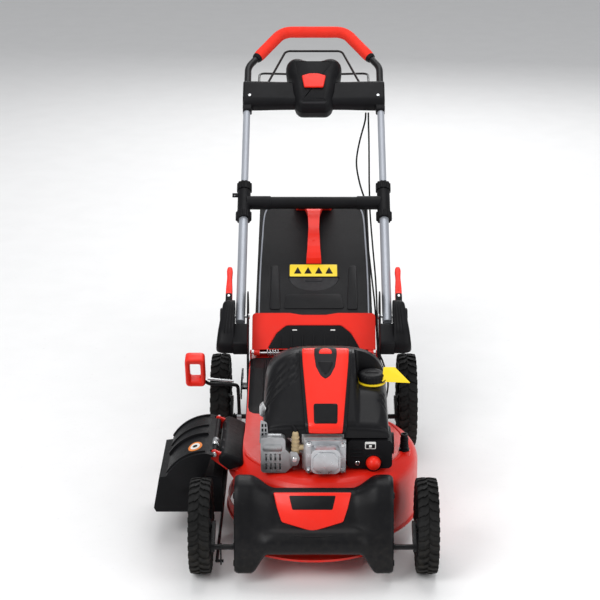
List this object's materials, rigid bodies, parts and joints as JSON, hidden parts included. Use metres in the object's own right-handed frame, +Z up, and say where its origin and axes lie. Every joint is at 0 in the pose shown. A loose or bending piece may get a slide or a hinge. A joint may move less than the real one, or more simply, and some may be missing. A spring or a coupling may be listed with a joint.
{
  "type": "lawn mower",
  "caption": "Walk-behind petrol lawn mower with rear grass bag, side discharge chute, deck height lever and a folding, telescopic handle with two bails.",
  "frame": {"origin": "on the ground under the middle of the mower's box, from the bumper to the hanging drive bail", "axes": "+Z up, the mower's nose points to -Y, its left side seen from the front is at -X"},
  "size_m": [0.6294, 1.622, 0.9251],
  "materials": {
    "deck": "gloss red enamel over pressed steel",
    "front_bumper": "fine-grained matte black moulding",
    "bumper_badge": "glossy red moulding",
    "axle_brackets": "bare steel",
    "handle_brackets": "fine-grained matte black moulding",
    "pivot_pins": "bare steel",
    "rear_skirt": "soft black rubber",
    "crankcase": "raw die-cast alloy",
    "cylinder_block": "raw die-cast alloy",
    "valve_cover": "raw die-cast alloy",
    "blower_shroud": "fine-grained matte black moulding",
    "shroud_panel": "glossy red moulding",
    "muffler": "bare steel",
    "spark_plug": "bronze coloured plug boot",
    "air_filter_box": "fine-grained matte black moulding",
    "fuel_tank": "fine-grained matte black moulding",
    "washout_nipple": "fine-grained matte black moulding",
    "gearbox": "dark grey moulding",
    "drive_belt": "soft black rubber",
    "crankshaft": "bare steel",
    "flywheel": "cast iron",
    "blade_adapter": "bare steel",
    "blade": "bare steel",
    "piston": "raw die-cast alloy",
    "connecting_rod": "raw die-cast alloy",
    "gearbox_pulley": "bare steel",
    "tyre_front_left": "black treaded tyre",
    "tyre_front_right": "black treaded tyre",
    "tyre_rear_left": "black treaded tyre",
    "tyre_rear_right": "black treaded tyre",
    "rim_front_left": "dark grey moulding",
    "rim_front_right": "dark grey moulding",
    "rim_rear_left": "dark grey moulding",
    "rim_rear_right": "dark grey moulding",
    "rear_axle": "bare steel",
    "height_lever": "glossy red moulding",
    "front_axle": "bare steel",
    "tie_rod": "bare steel",
    "lower_tubes": "silver-blue coated tube",
    "crossbar": "satin black coated steel",
    "upper_hoop": "silver-blue coated tube",
    "foam_grip": "red foam rubber",
    "dash_console": "fine-grained matte black moulding",
    "brake_bail": "satin black coated steel",
    "drive_bail": "satin black coated steel",
    "clamp_lever_left": "glossy red moulding",
    "clamp_lever_right": "glossy red moulding",
    "primer_bulb": "glossy red moulding",
    "fuel_cap": "fine-grained matte black moulding",
    "side_flap": "fine-grained matte black moulding",
    "side_chute": "fine-grained matte black moulding",
    "rear_door": "glossy red moulding",
    "bag_lid": "fine-grained matte black moulding",
    "grass_bag": "black woven cloth",
    "bag_handle": "glossy red moulding",
    "fill_flap": "dark grey moulding",
    "cables_upper": "soft black rubber",
    "cables_lower": "soft black rubber",
    "twist_collar_left": "fine-grained matte black moulding",
    "twist_collar_right": "fine-grained matte black moulding"
  },
  "bodies": {
    "chassis": {"deck": "deck", "front_bumper": "front_bumper", "bumper_badge": "bumper_badge", "axle_brackets": "axle_brackets", "handle_brackets": "handle_brackets", "pivot_pins": "pivot_pins", "rear_skirt": "rear_skirt", "crankcase": "crankcase", "cylinder_block": "cylinder_block", "valve_cover": "valve_cover", "blower_shroud": "blower_shroud", "shroud_panel": "shroud_panel", "muffler": "muffler", "spark_plug": "spark_plug", "air_filter_box": "air_filter_box", "fuel_tank": "fuel_tank", "washout_nipple": "washout_nipple", "gearbox": "gearbox", "drive_belt": "drive_belt", "cables_lower": "cables_lower"},
    "crank": {"crankshaft": "crankshaft", "flywheel": "flywheel", "blade_adapter": "blade_adapter", "blade": "blade"},
    "piston": {"piston": "piston"},
    "connecting_rod": {"connecting_rod": "connecting_rod"},
    "drive_pulley": {"gearbox_pulley": "gearbox_pulley"},
    "wheel_front_left": {"tyre_front_left": "tyre_front_left", "rim_front_left": "rim_front_left"},
    "wheel_front_right": {"tyre_front_right": "tyre_front_right", "rim_front_right": "rim_front_right"},
    "wheel_rear_left": {"tyre_rear_left": "tyre_rear_left", "rim_rear_left": "rim_rear_left"},
    "wheel_rear_right": {"tyre_rear_right": "tyre_rear_right", "rim_rear_right": "rim_rear_right"},
    "rear_axle": {"rear_axle": "rear_axle", "height_lever": "height_lever"},
    "front_axle": {"front_axle": "front_axle"},
    "tie_rod": {"tie_rod": "tie_rod"},
    "handle_lower": {"lower_tubes": "lower_tubes", "crossbar": "crossbar"},
    "handle_upper": {"upper_hoop": "upper_hoop", "foam_grip": "foam_grip", "dash_console": "dash_console", "cables_upper": "cables_upper"},
    "brake_bail": {"brake_bail": "brake_bail"},
    "drive_bail": {"drive_bail": "drive_bail"},
    "clamp_lever_left": {"clamp_lever_left": "clamp_lever_left"},
    "clamp_lever_right": {"clamp_lever_right": "clamp_lever_right"},
    "twist_collar_left": {"twist_collar_left": "twist_collar_left"},
    "twist_collar_right": {"twist_collar_right": "twist_collar_right"},
    "primer_bulb": {"primer_bulb": "primer_bulb"},
    "fuel_cap": {"fuel_cap": "fuel_cap"},
    "side_flap": {"side_flap": "side_flap"},
    "side_chute": {"side_chute": "side_chute"},
    "rear_door": {"rear_door": "rear_door"},
    "grass_bag": {"bag_lid": "bag_lid", "grass_bag": "grass_bag", "bag_handle": "bag_handle"},
    "fill_flap": {"fill_flap": "fill_flap"}
  },
  "joints": [
    {"name": "crank_spin", "type": "hinge", "parent": "chassis", "child": "crank", "pos_m": [0.06625, -0.481, 0.249], "axis": [0, 0, 1], "continuous": true},
    {"name": "piston_slide", "type": "slide", "parent": "chassis", "child": "piston", "axis": [0, 1, 0], "range_m": [0, 0.044]},
    {"name": "rod_swing", "type": "hinge", "parent": "piston", "child": "connecting_rod", "pos_m": [0.06625, -0.578, 0.249], "axis": [0, 0, 1], "range_deg": [-16, 16]},
    {"name": "drive_pulley_spin", "type": "hinge", "parent": "chassis", "child": "drive_pulley", "pos_m": [0.15825, -0.181, 0.186], "axis": [0, 0, 1], "continuous": true},
    {"name": "deck_height", "type": "hinge", "parent": "chassis", "child": "rear_axle", "pos_m": [0.04625, -0.10163, 0.09552], "axis": [-1, 0, 0], "range_deg": [0, 38]},
    {"name": "front_lift", "type": "hinge", "parent": "chassis", "child": "front_axle", "pos_m": [0.04625, -0.76163, 0.08252], "axis": [-1, 0, 0], "range_deg": [0, 38]},
    {"name": "tie_rod_swing", "type": "hinge", "parent": "rear_axle", "child": "tie_rod", "pos_m": [-0.16325, -0.10163, 0.06152], "axis": [-1, 0, 0], "range_deg": [-38, 0]},
    {"name": "wheel_spin_front_left", "type": "hinge", "parent": "front_axle", "child": "wheel_front_left", "pos_m": [-0.19925, -0.706, 0.105], "axis": [1, 0, 0], "continuous": true},
    {"name": "wheel_spin_front_right", "type": "hinge", "parent": "front_axle", "child": "wheel_front_right", "pos_m": [0.29175, -0.706, 0.105], "axis": [1, 0, 0], "continuous": true},
    {"name": "wheel_spin_rear_left", "type": "hinge", "parent": "rear_axle", "child": "wheel_rear_left", "pos_m": [-0.18975, -0.046, 0.118], "axis": [1, 0, 0], "continuous": true},
    {"name": "wheel_spin_rear_right", "type": "hinge", "parent": "rear_axle", "child": "wheel_rear_right", "pos_m": [0.28225, -0.046, 0.118], "axis": [1, 0, 0], "continuous": true},
    {"name": "handle_fold", "type": "hinge", "parent": "chassis", "child": "handle_lower", "pos_m": [0.04625, -0.052, 0.347], "axis": [1, 0, 0], "range_deg": [0, 110], "deforming": ["cables_lower"]},
    {"name": "handle_slide", "type": "slide", "parent": "handle_lower", "child": "handle_upper", "axis": [0, 0.8192, 0.5736], "range_m": [-0.2, 0], "deforming": ["cables_upper"]},
    {"name": "brake_bail_swing", "type": "hinge", "parent": "handle_upper", "child": "brake_bail", "pos_m": [0.04625, 0.54926, 0.74359], "axis": [1, 0, 0], "range_deg": [0, 8], "stiffness_Nm_per_rad": 1.5},
    {"name": "drive_bail_swing", "type": "hinge", "parent": "handle_upper", "child": "drive_bail", "pos_m": [0.04625, 0.54926, 0.74359], "axis": [1, 0, 0], "range_deg": [0, 26], "stiffness_Nm_per_rad": 1},
    {"name": "clamp_lever_right_turn", "type": "hinge", "parent": "chassis", "child": "clamp_lever_right", "pos_m": [0.26025, -0.00695, 0.37855], "axis": [0, 0.5736, -0.8192], "range_deg": [0, 95]},
    {"name": "clamp_lever_left_turn", "type": "hinge", "parent": "chassis", "child": "clamp_lever_left", "pos_m": [-0.16775, -0.00695, 0.37855], "axis": [0, -0.5736, 0.8192], "range_deg": [0, 95]},
    {"name": "twist_collar_left_turn", "type": "hinge", "parent": "handle_lower", "child": "twist_collar_left", "pos_m": [-0.13725, 0.28549, 0.58331], "axis": [0, 0.8192, 0.5736], "range_deg": [0, 60]},
    {"name": "twist_collar_right_turn", "type": "hinge", "parent": "handle_lower", "child": "twist_collar_right", "pos_m": [0.22975, 0.28549, 0.58331], "axis": [0, 0.8192, 0.5736], "range_deg": [0, 60]},
    {"name": "primer_push", "type": "slide", "parent": "chassis", "child": "primer_bulb", "axis": [0, 1, 0], "range_m": [0, 0.005], "stiffness_N_per_m": 400},
    {"name": "cap_turn", "type": "hinge", "parent": "chassis", "child": "fuel_cap", "pos_m": [0.17625, -0.501, 0.368], "axis": [0, 0, 1], "range_deg": [0, 90]},
    {"name": "flap_swing", "type": "hinge", "parent": "chassis", "child": "side_flap", "pos_m": [-0.17575, -0.481, 0.217], "axis": [0, 1, 0], "range_deg": [0, 80], "stiffness_Nm_per_rad": 0.3},
    {"name": "chute_remove", "type": "slide", "parent": "chassis", "child": "side_chute", "axis": [-1, 0, 0], "range_m": [0, 0.1]},
    {"name": "door_lift", "type": "hinge", "parent": "chassis", "child": "rear_door", "pos_m": [0.04625, -0.076, 0.258], "axis": [1, 0, 0], "range_deg": [0, 50], "stiffness_Nm_per_rad": 0.3},
    {"name": "bag_remove", "type": "slide", "parent": "chassis", "child": "grass_bag", "axis": [0, 0.9511, 0.309], "range_m": [0, 0.35]},
    {"name": "fill_flap_lift", "type": "hinge", "parent": "grass_bag", "child": "fill_flap", "pos_m": [0.04625, 0.13685, 0.38257], "axis": [-1, 0, 0], "range_deg": [0, 35]}
  ],
  "couplings": [
    {"joint": "drive_pulley_spin", "follows": "crank_spin", "ratio": 0.73333},
    {"joint": "front_lift", "follows": "deck_height", "ratio": 1},
    {"joint": "tie_rod_swing", "follows": "deck_height", "ratio": -1}
  ]
}
